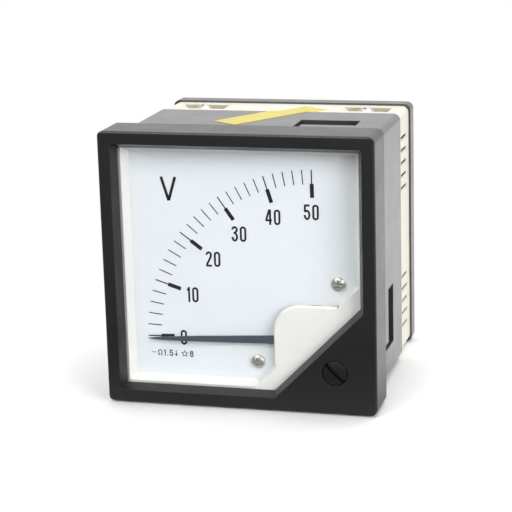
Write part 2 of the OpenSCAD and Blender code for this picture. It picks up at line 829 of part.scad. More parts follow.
module coil_former() color("#b5b8bb") coil_turn()
    coil_frame(former_in, y_former + former_t, former_l - 2 * former_t, former_t);

module coil_winding() color("#9a4a1e") coil_turn()
    coil_frame(former_in + former_t, y_former, former_l, winding_t);

module coil_pivots() color("#a9adb2") at_axis() {
    rod(1.6, y_coil - pivot_base_t, pivot_base_t);
    rod(0.5, y_hub, hub_t + eps);
    rod(pivot_r, y_tip, y_hub - y_tip + eps);
    rod(1.6, y_coil_rear, pivot_base_t);
    rod(collar_r, y_rear_collar - eps, rear_collar_l);
    rod(pivot_r, y_rear_collar, rear_collar_l + pivot_l);
}

// Hub with three balance arms; the pointer is its fourth
module pointer_hub() color("#b5b8bb") at_axis() rotate([0, -rest_angle, 0])
    difference() {
        union() {
            rod(1.3, y_hub, hub_t);
            rod(collar_r, y_collar, collar_t + eps);
            translate([0, y_arm + 0.3, 0]) {
                rotate([0, 90, 0]) cylinder(r = 0.3, h = 9.3);
                for (z = [-1, 1]) scale([1, 1, z]) cylinder(r = 0.3, h = 5.6);
            }
        }
        rod(0.5, y_hub, hub_t + 1);
        rod(pivot_r, y_collar - 1, 4);
    }

module weight(r, from, length) translate([0, 0, from]) difference() {
    cylinder(r = r, h = length);
    translate([0, 0, -1]) cylinder(r = 0.3, h = length + 2);
}

module balance_weights() color("#c8b273")
    at_axis() rotate([0, -rest_angle, 0]) translate([0, y_arm + 0.3, 0]) {
        rotate([0, 90, 0]) weight(1.2, 5.6, 3.6);
        weight(0.7, 3.6, 1.6);
        rotate([180, 0, 0]) weight(0.7, 3.6, 1.6);
    }

// Lance from the hub to the dial's edge, cranked forward between the two
module pointer() color("#4c545e") at_axis() rotate([0, -rest_angle, 0]) {
    along_y(y_arm, arm_t) difference() {
        translate([-riser_from - 0.3, -0.7]) square([riser_from + 0.3, 1.4]);
        circle(1.3);
    }
    translate([0, 0, -0.7]) linear_extrude(1.4)
        polygon([[-riser_from, y_arm], [-riser_from, y_arm + arm_t],
            [-riser_from - 0.35, y_arm + arm_t], [-riser_to - 0.4, y_pointer + pointer_t],
            [-riser_to - 0.4, y_pointer], [-riser_to, y_pointer]]);
    along_y(y_pointer, pointer_t) polygon([each lance(1), each lance(-1, true)]);
}

// One edge of the lance: broad at the hood, then slim, with a keen tip
function lance(side, back = false) =
    let (edge = [[riser_to, 1.3], [14, 1.2], [36, 0.83], [pointer_l - 4, 0.5],
        [pointer_l - 1.5, 0.26], [pointer_l, 0.06]])
    [for (i = [0:5]) let (p = edge[back ? 5 - i : i]) [-p[0], side * p[1]]];

module zero_adjuster() color("#161618") at_axis(adjuster_at, -adjuster_at) {
    difference() {
        union() {
            intersection() {
                rod(adjuster_r, y_front - 1, 1 + 2.15);
                translate([0, y_front - 0.35 + 12, 0]) sphere(12, $fn = 96);
            }
            rod(neck_r, y_front + 2.1, -y_front - 2.1 + y_bridge + 0.35);
        }
        rotate([0, 45, 0]) translate([-5, y_front - 1, -0.5]) cube([10, 2.2, 1]);
    }
    // eccentric pin, towards the pointer's axis
    rotate([0, lever_angle, 0]) translate([-pin_throw, 0, 0])
        rod(pin_r, y_bridge + 0.3, y_lever + lever_t + 0.4 - y_bridge);
}

module adjuster_retainer() color("#9da0a3") at_axis(adjuster_at, -adjuster_at)
    along_y(y_pane + 1.1, 0.4) difference() {
        circle(3.7);
        circle(neck_r + 0.01);
    }

// ---- Terminals and electrics ----

module terminal_pair() for (x = [-1, 1]) at_axis(x * terminal_pitch / 2, 0) children();

module terminal_studs() color("#c9a94f") terminal_pair() {
    rod(stud_r, y_board - lug_t - inner_nut_t - 0.8,
        y_rear + stud_out - (y_board - lug_t - inner_nut_t - 0.8));
    along_y(y_flange - stud_hex_t, stud_hex_t) rotate(30) circle(4.4, $fn = 6);
}

module terminal_nuts() color("#c9a94f") terminal_pair() {
    hex_nut(4.1, stud_r + 0.03, y_rear + boss_out + washer_t, nut_t);
    hex_nut(4.1, stud_r + 0.03, y_rear + boss_out + 2 * washer_t + nut_t, nut_t);
    hex_nut(3.8, stud_r + 0.03, y_board - lug_t - inner_nut_t, inner_nut_t);
}

module terminal_washers() color("#c9a94f") terminal_pair()
    for (y = [y_rear + boss_out, y_rear + boss_out + washer_t + nut_t])
        along_y(y, washer_t) difference() {
            circle(4.5);
            circle(stud_r + 0.1);
        }

module solder_lugs() color("#cfcfca") for (m = [0, 1]) mirror([m, 0, 0])
    at_axis(terminal_pitch / 2, 0) along_y(y_board - lug_t, lug_t) difference() {
        union() {
            circle(3.9);
            translate([-8, -1.1]) square([8, 2.2]);
            translate([-8, 0]) circle(1.4);
        }
        circle(stud_r + 0.1);
        translate([-8, 0]) circle(0.6);
    }

resistor_r = 2.4;
resistor_l = 12;
resistor_z = 4.4;

module resistor_board() color("#8a6a35") along_y(y_board, board_t) difference() {
    square([terminal_pitch + 12, 17], center = true);
    for (x = [-1, 1]) translate([x * terminal_pitch / 2, 0]) circle(stud_r + 0.1);
    for (x = [-1, 1], z = [-1, 1])
        translate([x * (resistor_l / 2 + 3), z * resistor_z]) circle(0.5);
}

module series_resistors() color("#6f8f8a") {
    y = y_board - resistor_r - 0.3;
    for (z = [-1, 1]) translate([0, y, z * resistor_z]) {
        rotate([0, 90, 0]) cylinder(r = resistor_r, h = resistor_l, center = true);
        rotate([0, 90, 0])
            cylinder(r = 0.35, h = resistor_l + 6, center = true);
        for (x = [-1, 1]) translate([x * (resistor_l / 2 + 3), 0, 0]) {
            sphere(0.35);
            rod(0.35, 0, y_board + board_t + 0.6 - y);
        }
    }
}

module positive_lead() color("#a32020")
    wire([8 - terminal_pitch / 2, 0], [axis_x - 2.9, axis_z + 2.9],
        y_board - lug_t, y_rear_bridge + 9.5, y_rear_bridge);

module negative_lead() color("#1b1b1b")
    wire([terminal_pitch / 2 - 8, 0], [axis_x - 14.6, axis_z - 7.4],
        y_board - lug_t, y_rear_bridge + 5, y_yoke);

front_bezel();
window_pane();
dial_surround();
dial_plate();
dial_screws();
zero_adjuster();
adjuster_retainer();
case_body();
rear_base();
base_screws();
back_plate();
back_plate_screws();
seal_label();
movement_frame();
frame_screws();
yoke_ring();
core_magnet();
core_spacers();
front_bridge();
rear_bridge();
bridge_pillars();
bridge_screws();
front_jewel_screw();
rear_jewel_screw();
jewel_nuts();
zero_lever();
front_hairspring();
rear_hairspring();
spring_anchor();
coil_former();
coil_winding();
coil_pivots();
pointer();
pointer_hub();
balance_weights();
terminal_studs();
terminal_nuts();
terminal_washers();
solder_lugs();
resistor_board();
series_resistors();
positive_lead();
negative_lead();
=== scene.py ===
"""Analog panel meter: finishes, dial print, threads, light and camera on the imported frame."""
import json
import math

import bmesh
import bpy
import numpy as np
from mathutils import Matrix, Vector


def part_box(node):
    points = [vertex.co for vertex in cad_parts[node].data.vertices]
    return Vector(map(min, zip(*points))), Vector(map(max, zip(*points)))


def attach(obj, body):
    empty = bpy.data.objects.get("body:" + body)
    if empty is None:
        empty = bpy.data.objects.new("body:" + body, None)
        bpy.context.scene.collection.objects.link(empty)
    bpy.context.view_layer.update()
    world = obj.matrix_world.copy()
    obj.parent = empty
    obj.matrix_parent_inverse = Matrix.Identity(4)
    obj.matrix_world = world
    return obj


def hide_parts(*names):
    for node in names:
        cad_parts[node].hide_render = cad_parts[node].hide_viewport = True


MM = 0.001
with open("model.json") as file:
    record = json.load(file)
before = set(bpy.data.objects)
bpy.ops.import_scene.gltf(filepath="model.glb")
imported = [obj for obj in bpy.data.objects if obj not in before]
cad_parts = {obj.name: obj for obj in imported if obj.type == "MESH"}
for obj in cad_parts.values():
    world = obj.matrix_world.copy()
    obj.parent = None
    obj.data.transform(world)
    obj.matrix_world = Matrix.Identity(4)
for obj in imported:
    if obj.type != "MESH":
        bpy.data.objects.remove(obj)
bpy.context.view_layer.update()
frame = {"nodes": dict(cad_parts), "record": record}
nodes = frame["nodes"]
joints = {j["name"]: j for j in frame["record"]["behaviour"]["joints"]}
PIVOT = np.array(joints["pointer_swing"]["pos_m"])


# ---- Camera ----

def camera_axes(yaw, pitch, roll):
    """Right, up and back directions: turned right by yaw about Z, tipped down by pitch, rolled about the view."""
    cy, sy, cp, sp = math.cos(yaw), math.sin(yaw), math.cos(pitch), math.sin(pitch)
    ahead = Vector((-sy * cp, cy * cp, -sp))
    right = Vector((cy, sy, 0.0))
    down = ahead.cross(right)
    cr, sr = math.cos(roll), math.sin(roll)
    return right * cr + down * sr, right * sr - down * cr, -ahead


def make_camera():
    data = bpy.data.cameras.new("camera")
    data.sensor_width = 36.0
    data.lens = 129.36
    data.clip_start = 0.01
    data.clip_end = 20.0
    cam = bpy.data.objects.new("camera", data)
    bpy.context.collection.objects.link(cam)
    right, up, back = camera_axes(math.radians(15.417), math.radians(14.28), math.radians(1.586))
    rot = Matrix((right, up, back)).transposed().to_4x4()
    cam.matrix_world = Matrix.Translation(Vector((138.71, -495.22, 132.61)) * MM) @ rot
    bpy.context.scene.camera = cam


# ---- Material tools ----

def new_material(name):
    mat = bpy.data.materials.new(name)
    mat.use_nodes = True
    mat.node_tree.nodes.clear()
    return mat, mat.node_tree.nodes, mat.node_tree.links


def add(nds, kind, **sockets):
    """A node with its sockets set; a name ending in _ and a number picks a socket by place."""
    n = nds.new(kind)
    for key, value in sockets.items():
        sock = n.inputs[int(key[1:])] if key[0] == "i" and key[1:].isdigit() else n.inputs[key.replace("_", " ")]
        sock.default_value = value
    return n


def rgb(r, g, b):
    return (r, g, b, 1.0)


def tint(color, k):
    return rgb(*[min(1.0, c * k) for c in color])


def noise(nds, lks, coords, size, detail=3.0, rough=0.5, stretch=None):
    """Noise whose blobs are about size metres across."""
    src = coords
    if stretch:
        m = nds.new("ShaderNodeMapping")
        m.inputs["Scale"].default_value = stretch
        lks.new(coords, m.inputs["Vector"])
        src = m.outputs["Vector"]
    n = add(nds, "ShaderNodeTexNoise", Scale=1.0 / size, Detail=detail, Roughness=rough)
    lks.new(src, n.inputs["Vector"])
    return n.outputs["Fac"]


def ramp(nds, lks, fac, low, high, a, b):
    r = nds.new("ShaderNodeValToRGB")
    r.color_ramp.elements[0].position = low
    r.color_ramp.elements[1].position = high
    r.color_ramp.elements[0].color = a
    r.color_ramp.elements[1].color = b
    lks.new(fac, r.inputs["Fac"])
    return r.outputs["Color"]


def spread(nds, lks, fac, a, b):
    m = add(nds, "ShaderNodeMapRange")
    m.inputs["From Min"].default_value = 0.3
    m.inputs["From Max"].default_value = 0.7
    m.inputs["To Min"].default_value = a
    m.inputs["To Max"].default_value = b
    lks.new(fac, m.inputs["Value"])
    return m.outputs["Result"]


def finish(name, color, rough, *, rough_by=0.05, mottle=0.06, mottle_size=0.02, grain=0.0, grain_size=0.0004,
           metallic=0.0, coat=0.0, coat_rough=0.2, specular=0.5, edge=0.0, stretch=None, sheen=0.0):
    """A moulded, painted or metal finish: slow colour mottle, uneven gloss, fine grain and softened edges."""
    mat, nds, lks = new_material(name)
    out = nds.new("ShaderNodeOutputMaterial")
    p = nds.new("ShaderNodeBsdfPrincipled")
    lks.new(p.outputs["BSDF"], out.inputs["Surface"])
    coords = nds.new("ShaderNodeTexCoord").outputs["Object"]
    slow = noise(nds, lks, coords, mottle_size, 4.0, 0.6, stretch)
    lks.new(ramp(nds, lks, slow, 0.3, 0.7, tint(color, 1 - mottle), tint(color, 1 + mottle)), p.inputs["Base Color"])
    cloud = noise(nds, lks, coords, mottle_size * 0.4, 3.0, 0.5, stretch)
    lks.new(spread(nds, lks, cloud, rough - rough_by, rough + rough_by), p.inputs["Roughness"])
    p.inputs["Metallic"].default_value = metallic
    p.inputs["Coat Weight"].default_value = coat
    p.inputs["Coat Roughness"].default_value = coat_rough
    p.inputs["Specular IOR Level"].default_value = specular
    p.inputs["Sheen Weight"].default_value = sheen
    normal = None
    if edge:
        bev = nds.new("ShaderNodeBevel")
        bev.samples = 4
        bev.inputs["Radius"].default_value = edge * MM
        normal = bev.outputs["Normal"]
    if grain:
        fine = noise(nds, lks, coords, grain_size, 2.0, 0.6, stretch)
        bump = nds.new("ShaderNodeBump")
        bump.inputs["Strength"].default_value = 1.0
        bump.inputs["Distance"].default_value = grain * MM
        lks.new(fine, bump.inputs["Height"])
        if normal:
            lks.new(normal, bump.inputs["Normal"])
        normal = bump.outputs["Normal"]
    if normal:
        lks.new(normal, p.inputs["Normal"])
        if coat:
            lks.new(normal, p.inputs["Coat Normal"])
    return mat


def pane_glass():
    """Clear pane that bends and mirrors what is seen through it, and lets the lamps through."""
    mat, nds, lks = new_material("clear_pane")
    out = nds.new("ShaderNodeOutputMaterial")
    p = nds.new("ShaderNodeBsdfPrincipled")
    p.inputs["Base Color"].default_value = rgb(0.985, 0.992, 1.0)
    p.inputs["Roughness"].default_value = 0.0
    p.inputs["IOR"].default_value = 1.46
    p.inputs["Specular IOR Level"].default_value = 0.2
    p.inputs["Transmission Weight"].default_value = 1.0
    clear = nds.new("ShaderNodeBsdfTransparent")
    clear.inputs["Color"].default_value = rgb(0.96, 0.975, 0.99)
    path = nds.new("ShaderNodeLightPath")
    mix = nds.new("ShaderNodeMixShader")
    lks.new(path.outputs["Is Shadow Ray"], mix.inputs["Fac"])
    lks.new(p.outputs["BSDF"], mix.inputs[1])
    lks.new(clear.outputs["BSDF"], mix.inputs[2])
    lks.new(mix.outputs["Shader"], out.inputs["Surface"])
    return mat


def wound_wire():
    """Enamelled copper wound in close turns around the coil."""
    mat = finish("enamelled_wire", (0.45, 0.13, 0.045), 0.32, metallic=0.75, mottle=0.15, mottle_size=0.002)
    nds, lks = mat.node_tree.nodes, mat.node_tree.links
    p = [n for n in nds if n.type == "BSDF_PRINCIPLED"][0]
    coords = [n for n in nds if n.type == "TEX_COORD"][0].outputs["Object"]
    wave = add(nds, "ShaderNodeTexWave", Scale=1200.0, Distortion=0.4)
    lks.new(coords, wave.inputs["Vector"])
    bump = nds.new("ShaderNodeBump")
    bump.inputs["Distance"].default_value = 0.05 * MM
    lks.new(wave.outputs["Fac"], bump.inputs["Height"])
    lks.new(bump.outputs["Normal"], p.inputs["Normal"])
    return mat


# ---- Mesh tools ----

def mesh_object(name, points, faces, material, body="housing", smooth=False):
    """Object with its place in its mesh, riding on a body."""
    me = bpy.data.meshes.new(name)
    me.from_pydata(np.asarray(points).tolist(), [], np.asarray(faces).tolist())
    me.validate()
    me.update()
    if smooth:
        me.polygons.foreach_set("use_smooth", np.ones(len(me.polygons), dtype=bool))
    obj = bpy.data.objects.new(name, me)
    bpy.context.collection.objects.link(obj)
    me.materials.append(material)
    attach(obj, body)
    return obj


def arc(cx, cz, rx, rz, a0, a1, n=14):
    """Points on an ellipse about (cx, cz), from angle a0 to a1 in degrees."""
    a = np.radians(np.linspace(a0, a1, n))
    return np.stack([cx + rx * np.cos(a), cz + rz * np.sin(a)], 1)


def line(*pts):
    return np.array(pts, dtype=float)


def glyph(ch):
    """Centre lines of a character one unit tall, with its half width; each line is an array of points."""
    w, top = 0.145, 0.29
    if ch == "0":
        loop = np.concatenate([arc(0, top, w, w, 180, 0), arc(0, -top, w, w, 0, -180)])
        return [np.concatenate([loop, loop[:1]])], 0.21
    if ch == "1":
        return [line((-0.075, 0.27), (0.07, 0.405)), line((0.055, 0.5), (0.055, -0.5))], 0.13
    if ch == "2":
        return [np.concatenate([arc(0, top, w, w, 190, -12), line((0.1, 0.09), (-0.14, -0.37))]),
                line((-0.205, -0.435), (0.2, -0.435))], 0.21
    if ch == "3":
        return [np.concatenate([arc(0, 0.275, w, 0.16, 180, -62), line((-0.005, 0.065)),
                                arc(0, -0.2, w + 0.005, 0.235, 62, -180)]),
                line((-0.06, 0.07), (0.03, 0.07))], 0.21
    if ch == "4":
        return [line((0.045, 0.47), (-0.16, -0.17)), line((-0.21, -0.21), (0.205, -0.21)),
                line((0.095, 0.5), (0.095, -0.5))], 0.21
    if ch == "5":
        return [line((-0.175, 0.435), (0.175, 0.435)), line((-0.12, 0.48), (-0.135, 0.0)),
                arc(0, -0.17, w + 0.005, 0.265, 140, -180, 20)], 0.21
    if ch == "8":
        upper = arc(0, 0.255, 0.13, 0.18, -90, 270, 25)
        lower = arc(0, -0.18, w, 0.255, 90, 450, 25)
        return [upper, lower], 0.21
    if ch == ".":
        return [line((0, -0.5), (0, -0.36))], 0.07
    if ch == "V":
        return [line((-0.3, 0.5), (0, -0.49)), line((0.3, 0.5), (0, -0.49))], 0.35
    if ch == "dash":
        return [line((-0.3, 0.02), (0.3, 0.02))], 0.36
    if ch == "horseshoe":
        bow = arc(0, 0.08, 0.27, 0.36, 235, -55, 22)
        return [np.concatenate([line((-0.34, -0.42), (-0.16, -0.42)), bow, line((0.16, -0.42), (0.34, -0.42))])], 0.38
    if ch == "upright":
        return [line((0, 0.5), (0, -0.4)), line((-0.14, -0.12), (0, -0.42), (0.14, -0.12))], 0.2
    if ch == "star":
        a = np.radians(90 + 36 * np.arange(11))
        r = np.where(np.arange(11) % 2, 0.2, 0.48)
        return [np.stack([r * np.cos(a), r * np.sin(a)], 1)], 0.46
    return [], 0.1


def ribbon(path, width):
    """Strip along a path in X and Z: each point moved half a width to either side of it, mitred at the corners."""
    step = np.diff(path, axis=0)
    step /= np.linalg.norm(step, axis=1)[:, None]
    side = np.stack([-step[:, 1], step[:, 0]], 1)
    closed = np.allclose(path[0], path[-1])
    before = np.concatenate([side[-1:] if closed else side[:1], side])
    after = np.concatenate([side, side[:1] if closed else side[-1:]])
    mean = before + after
    mean /= np.maximum(np.linalg.norm(mean, axis=1), 1e-6)[:, None]
    reach = np.minimum(1 / np.maximum((mean * before).sum(1), 0.35), 1.8)[:, None] * mean * width / 2
    n = len(path)
    pts = np.concatenate([path + reach, path - reach])
    i = np.arange(n - 1)
    return pts, np.stack([i, i + 1, i + 1 + n, i + n], 1)


def print_strips(name, strips, material, ink=0.02):
    """Ink on the dial: strips of (path, width) in millimetres, raised from the dial's face by the ink's thickness."""
    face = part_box("dial_plate")[0][1]
    pts, faces, count = [], [], 0
    for path, width in strips:
        p, f = ribbon(path, width)
        pts.append(p)
        faces.append(f + count)
        count += len(p)
    flat = np.concatenate(pts) * MM
    xyz = np.stack([flat[:, 0], np.full(len(flat), face - 0.004 * MM), flat[:, 1]], 1)
    obj = mesh_object(name, xyz, np.concatenate(faces), material)
    solid = obj.modifiers.new("ink", "SOLIDIFY")
    solid.thickness = ink * MM
    solid.offset = -1.0 if obj.data.polygons[0].normal.y > 0 else 1.0
    return obj


def word(chars, x, z, height, stroke, gap=0.13, wide=1.0):
    """Strips of a row of characters centred on (x, z), height tall over all and stretched sideways by wide."""
    shapes = [glyph(c) for c in chars]
    total = sum(2 * hw for _, hw in shapes) + gap * (len(shapes) - 1)
    at, strips = -total / 2, []
    for paths, hw in shapes:
        for path in paths:
            across = x + (path[:, 0] + at + hw) * height * wide
            strips.append((np.stack([across, z + path[:, 1] * height], 1), stroke))
        at += 2 * hw + gap
    return strips


# ---- Dial print ----

ARC_AT = np.array([21.03, -21.44])      # middle of the scale's arc, X and Z in millimetres
ARC_R = 50.4


def mark_angle(v):
    """Angle of a mark above the horizontal, seen from the axis: linear, plus a bow that narrows it towards 50."""
    f = v / 50.0
    return math.radians(-1.92 + 91.2 * f * (1 + 0.105 * (1 - f)))


def on_arc(angle, radius):
    """Where the line from the axis at that angle meets the circle of that radius about the arc's middle."""
    b = np.array([PIVOT[0], PIVOT[2]]) / MM
    d = np.array([-math.cos(angle), math.sin(angle)])
    m = b - ARC_AT
    t = -m @ d + math.sqrt((m @ d) ** 2 - m @ m + radius * radius)
    return b + t * d


def dial_print(ink):
    marks = []
    for v in range(0, 51, 2):
        a = mark_angle(v)
        if v % 10:
            marks.append((np.array([on_arc(a, ARC_R), on_arc(a, ARC_R - 4.2)]), 0.3))
        else:
            marks.append((np.array([on_arc(a, ARC_R), on_arc(a, ARC_R - 4.1)]), 0.36))
            marks.append((np.array([on_arc(a, ARC_R - 4.0), on_arc(a, ARC_R - 8.0)]), 1.15))
    print_strips("printed_scale", marks, ink)
    numerals = []
    for text, r, a in (("0", 39.6, -0.6), ("10", 38.66, 19.06), ("20", 38.08, 38.05), ("30", 38.19, 54.72),
                       ("40", 38.34, 71.86), ("50", 38.21, 88.84)):
        x = ARC_AT[0] - r * math.cos(math.radians(a))
        z = ARC_AT[1] + r * math.sin(math.radians(a))
        numerals += word(text, x, z, 4.5, 0.6)
    print_strips("printed_numerals", numerals, ink)
    print_strips("printed_unit", word("V", -21.6, 22.3, 7.0, 0.85), ink)
    row = []
    for chars, x, height, stroke, wide in ((["dash"], -27.9, 1.9, 0.2, 1.1), (["horseshoe"], -26.0, 1.75, 0.27, 1.15),
                                           (["1", ".", "5"], -23.5, 1.85, 0.3, 1.5),
                                           (["upright"], -21.1, 1.8, 0.22, 1.4), (["star"], -18.5, 2.1, 0.2, 1.0),
                                           (["8"], -16.4, 1.85, 0.3, 1.45)):
        row += word(chars, x, -26.8, height, stroke, 0.13, wide)
    print_strips("printed_symbols", row, ink)


# ---- Threaded studs ----

def threaded_rod(x, z, y0, y1, r, pitch=0.7, depth=0.36, around=36, rows=10):
    """Rod along Y whose radius falls from r by a sawtooth of the height less the turn, in pitches; ends are chamfered."""
    n = int((y1 - y0) / pitch * rows)
    t, y = np.meshgrid(np.linspace(0, 2 * np.pi, around, endpoint=False), np.linspace(y0, y1, n))
    saw = np.abs(2 * ((y / pitch - t / (2 * np.pi)) % 1.0) - 1)
    rad = r - depth * np.clip(saw * 1.3 - 0.1, 0, 1)
    rad = np.minimum(rad, r - depth * 1.1 + np.minimum(y - y0, y1 - y))
    pts = np.stack([x + rad * np.cos(t), y, z + rad * np.sin(t)], 2).reshape(-1, 3)
    i, j = np.meshgrid(np.arange(n - 1), np.arange(around), indexing="ij")
    k = (j + 1) % around
    quads = np.stack([i * around + j, (i + 1) * around + j, (i + 1) * around + k, i * around + k], 2).reshape(-1, 4)
    faces = quads.tolist() + [list(range(around)), [(n - 1) * around + m for m in reversed(range(around))]]
    return pts, faces


def hex_prism(x, z, y0, y1, r):
    a = np.radians(np.arange(6) * 60 + 30)
    ring = np.stack([x + r * np.cos(a), np.zeros(6), z + r * np.sin(a)], 1)
    pts = np.concatenate([ring + [0, y0, 0], ring + [0, y1, 0]])
    i = np.arange(6)
    j = (i + 1) % 6
    return pts, np.stack([i, i + 6, j + 6, j], 1).tolist() + [[0, 1, 2, 3, 4, 5], [11, 10, 9, 8, 7, 6]]


def threaded_studs(brass):
    lo, hi = (np.array(c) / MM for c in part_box("terminal_studs"))
    board = np.array(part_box("resistor_board")[1]) / MM
    pts, faces, count = [], [], 0
    for x in (lo[0] + 4.4 * math.cos(math.radians(30)), hi[0] - 4.4 * math.cos(math.radians(30))):
        for p, f in (threaded_rod(x, 0.0, lo[1], hi[1], 2.0), hex_prism(x, 0.0, board[1], board[1] + 1.8, 4.4)):
            pts.append(p)
            faces += [[v + count for v in face] for face in f]
            count += len(p)
    obj = mesh_object("threaded_studs", np.concatenate(pts) * MM, np.array(faces, dtype=object), brass)
    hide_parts("terminal_studs")


# ---- Screw heads ----

def pan_screw(spot, outward, r, h, shank_r, shank_l, arm, around=96, rows=30):
    """Pan head screw: a dome that falls with the square of the radius, less a cross whose arms have sloped
    walls and grow shallower outward; then the rim, the seat and the shank down to its end."""
    up = np.array(outward, float)
    side = np.array([0.0, 0.0, 1.0]) if abs(up[1]) > 0.5 else np.array([1.0, 0.0, 0.0])
    across = np.cross(up, side)
    rho = np.concatenate([np.linspace(0.001, r * 0.97, rows), [r, r, shank_r, shank_r, 0.001]])
    edge = 0.5 * h
    top = h - (h - edge) * (rho / r) ** 2
    top[rows:] = [edge - 0.1, 0, 0, -shank_l, -shank_l]
    t, radius = np.meshgrid(np.linspace(0, 2 * np.pi, around, endpoint=False), rho)
    x, y = radius * np.cos(t), radius * np.sin(t)
    off, along = np.minimum(abs(x), abs(y)), np.maximum(abs(x), abs(y))
    reach = 0.64 * r
    wall = np.clip((arm / 2 + 0.1 - off) / 0.1, 0, 1) * np.clip((reach - along) / 0.15, 0, 1)
    depth = 0.62 * h * (1 - 0.45 * along / reach) * wall
    depth[rows:] = 0
    z = top[:, None] - depth
    pts = np.array(spot) + x[..., None] * side + y[..., None] * across + z[..., None] * up
    n = len(rho)
    i, j = np.meshgrid(np.arange(n - 1), np.arange(around), indexing="ij")
    k = (j + 1) % around
    quads = np.stack([i * around + j, (i + 1) * around + j, (i + 1) * around + k, i * around + k], 2)
    caps = [list(range(around - 1, -1, -1)), list(range((n - 1) * around, n * around))]
    return pts.reshape(-1, 3), quads.reshape(-1, 4).tolist() + [c[::-1] for c in caps]


def joined(parts):
    """One list of points and faces from several."""
    pts, faces, count = [], [], 0
    for p, f in parts:
        pts.append(p)
        faces += [[v + count for v in face] for face in f]
        count += len(p)
    return np.concatenate(pts), faces


def screw_set(node, radius, seats, material, **shape):
    """New heads for a node of screws, its spots taken from the corners of the node's box."""
    pts, faces = joined([pan_screw(s, o, r=radius, **shape) for s, o in seats])
    obj = mesh_object("turned_" + node, pts * MM, np.array(faces, dtype=object), material)
    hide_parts(node)


def all_screws(nickel):
    lo, hi = (np.array(c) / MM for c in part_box("dial_screws"))
    face = np.array(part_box("dial_plate")[0])[1] / MM
    seats = [((hi[0] - 2, face, hi[2] - 2), (0, -1, 0)), ((lo[0] + 2, face, lo[2] + 2), (0, -1, 0))]
    screw_set("dial_screws", 2.0, seats, nickel, h=1.35, shank_r=1.05, shank_l=4.0, arm=0.5)
    lo, hi = (np.array(c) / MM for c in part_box("back_plate_screws"))
    seats = [((x, hi[1] - 1.7, z), (0, 1, 0)) for x in (lo[0] + 2.4, hi[0] - 2.4) for z in (lo[2] + 2.4, hi[2] - 2.4)]
    screw_set("back_plate_screws", 2.4, seats, nickel, h=1.7, shank_r=1.05, shank_l=9.0, arm=0.6)
    lo, hi = (np.array(c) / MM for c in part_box("base_screws"))
    seats = [((x, (lo[1] + hi[1]) / 2, up * (BASE_HALF - POCKET_FLOOR)), (0, 0, up))
             for x in (lo[0] + 2.4, hi[0] - 2.4) for up in (-1, 1)]
    screw_set("base_screws", 2.6, seats, nickel, h=2.3, shank_r=1.2, shank_l=5.1, arm=0.8)


# ---- Details of the mouldings ----

BASE_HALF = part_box("rear_base")[1][2] / MM      # half the height of the rear base
BASE_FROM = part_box("rear_base")[0][1] / MM + 2   # the base's front edge, behind its spigot
POCKET_FLOOR = 1.5                              # depth of a screw pocket in its middle
POCKET_DEPTH = 2.4
POCKET_HALF = 7.3                               # half the length of a pocket, its ends sloping in by its depth


def block(lo, hi):
    """Box between two corners."""
    lo, hi = np.array(lo, float), np.array(hi, float)
    pick = np.array([[i, j, k] for i in (0, 1) for j in (0, 1) for k in (0, 1)])
    faces = [[0, 1, 3, 2], [4, 6, 7, 5], [0, 4, 5, 1], [2, 3, 7, 6], [0, 2, 6, 4], [1, 5, 7, 3]]
    return np.where(pick, hi, lo), faces


def prism_along_y(outline, y0, y1):
    """Outline in X and Z carried from y0 to y1."""
    n = len(outline)
    flat = np.array(outline, float)
    pts = np.concatenate([np.stack([flat[:, 0], np.full(n, y), flat[:, 1]], 1) for y in (y0, y1)])
    faces = [[i, (i + 1) % n, (i + 1) % n + n, i + n] for i in range(n)]
    return pts, faces + [list(range(n))[::-1], list(range(n, 2 * n))]


def outward(obj):
    bm = bmesh.new()
    bm.from_mesh(obj.data)
    bmesh.ops.recalc_face_normals(bm, faces=bm.faces)
    bm.to_mesh(obj.data)
    bm.free()


def pocket_lips(cream, shade):
    """Lips in front of and behind each base screw, and the raised floor under its head; their walls and lower faces
    take a darker cream, which is painted shade in the pockets.
    """
    lo, hi = (np.array(c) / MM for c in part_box("base_screws"))
    middle = (lo[1] + hi[1]) / 2
    parts = []
    for x in (lo[0] + 2.4, hi[0] - 2.4):
        for up in (-1, 1):
            def section(top):
                ends = POCKET_HALF - top
                low = POCKET_HALF - POCKET_DEPTH
                return [(x - ends, up * (BASE_HALF - top)), (x + ends, up * (BASE_HALF - top)),
                        (x + low, up * (BASE_HALF - POCKET_DEPTH)), (x - low, up * (BASE_HALF - POCKET_DEPTH))]
            parts.append(prism_along_y(section(0.01), middle - 5.9, middle - 3.3))
            parts.append(prism_along_y(section(POCKET_FLOOR), middle - 3.3, middle + 3.3))
            parts.append(prism_along_y(section(0.01), middle + 3.3, middle + 5.9))
    pts, faces = joined(parts)
    obj = mesh_object("pocket_lips", pts * MM, np.array(faces, dtype=object), cream)
    outward(obj)
    obj.data.materials.append(shade)
    # Walls and lowered faces get the second, darker cream: painted shade, not a different moulding.
    for face in obj.data.polygons:
        low = abs(face.center.z) / MM < BASE_HALF - 0.5
        face.material_index = 1 if low or abs(face.normal.z) < 0.9 else 0


def painted_vent_shadows(dark):
    """Dark sheets behind the upper part of each vent slot: painted shadow standing for the shade inside the vents."""
    first, pitch, half, deep, low = 13.85, 3.85, 0.65, 0.4, 0.41
    front = BASE_FROM + 3.25
    parts = [block((side * (BASE_HALF - deep - 0.08), front, g * (first + k * pitch) - low),
                   (side * (BASE_HALF - deep), front + 8.4, g * (first + k * pitch) + half))
             for side in (-1, 1) for g in (-1, 1) for k in range(5)]
    pts, faces = joined(parts)
    obj = mesh_object("painted_vent_shadows", pts * MM, np.array(faces, dtype=object), dark)
    outward(obj)


